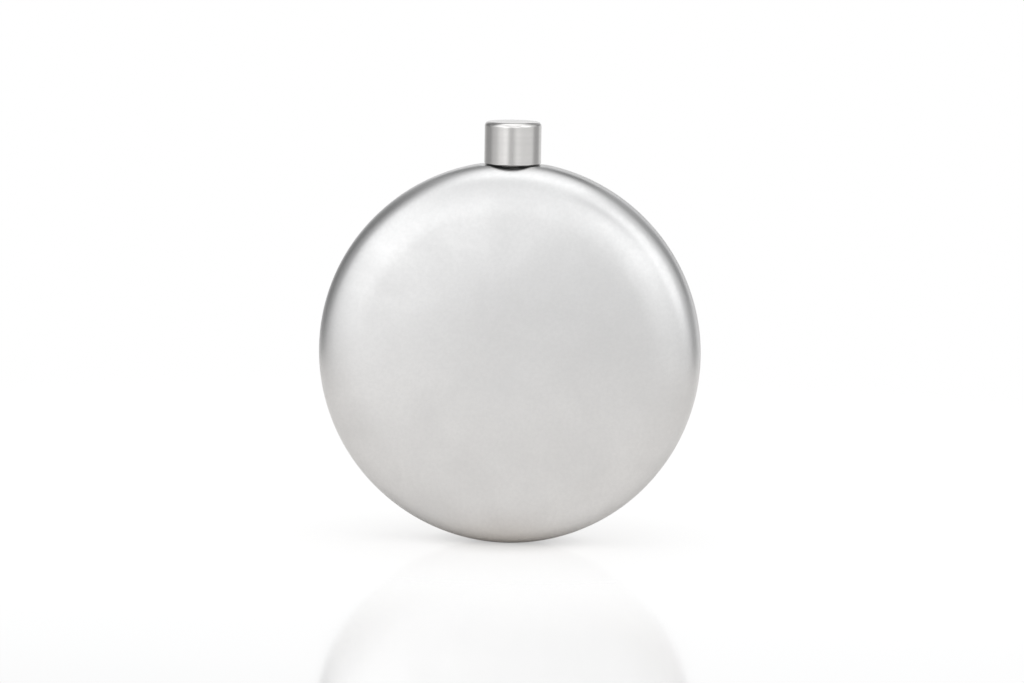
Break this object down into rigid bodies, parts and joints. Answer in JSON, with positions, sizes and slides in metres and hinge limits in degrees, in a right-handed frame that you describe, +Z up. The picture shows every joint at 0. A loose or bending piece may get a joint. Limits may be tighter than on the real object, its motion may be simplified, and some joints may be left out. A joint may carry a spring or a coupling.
{
  "type": "round pocket flask",
  "caption": "Round flat pocket flask of pressed titanium sheet, welded round its rim, with a short neck and a plain round screw cap.",
  "frame": {"origin": "middle of the small flat foot under the rim, at the bottom centre of the bounding box", "axes": "+Z up through the neck and cap, -Y out of the front face, X across the disc"},
  "size_m": [0.098, 0.0258, 0.1082],
  "materials": {
    "blasted_titanium": "fine bead-blasted titanium",
    "weld_titanium": "dressed weld, satin",
    "turned_titanium": "satin turned titanium",
    "black_plastic": "moulded polypropylene, satin",
    "silicone": "milky silicone, matt"
  },
  "bodies": {
    "flask": {"front_shell": "blasted_titanium", "rear_shell": "blasted_titanium", "rim_weld": "weld_titanium", "neck": "turned_titanium", "neck_weld": "weld_titanium"},
    "liner": {"cap_liner": "silicone"},
    "cap": {"cap_shell": "turned_titanium", "cap_insert": "black_plastic"}
  },
  "joints": [
    {"name": "cap_lift", "type": "slide", "parent": "flask", "child": "liner", "axis": [0, 0, 1], "range_m": [0, 0.0125]},
    {"name": "cap_turn", "type": "hinge", "parent": "liner", "child": "cap", "pos_m": [0, 0, 0.1], "axis": [0, 0, 1], "range_deg": [0, 1800]}
  ],
  "couplings": [
    {"joint": "cap_lift", "follows": "cap_turn", "m_per_rad": 0.00039788}
  ]
}
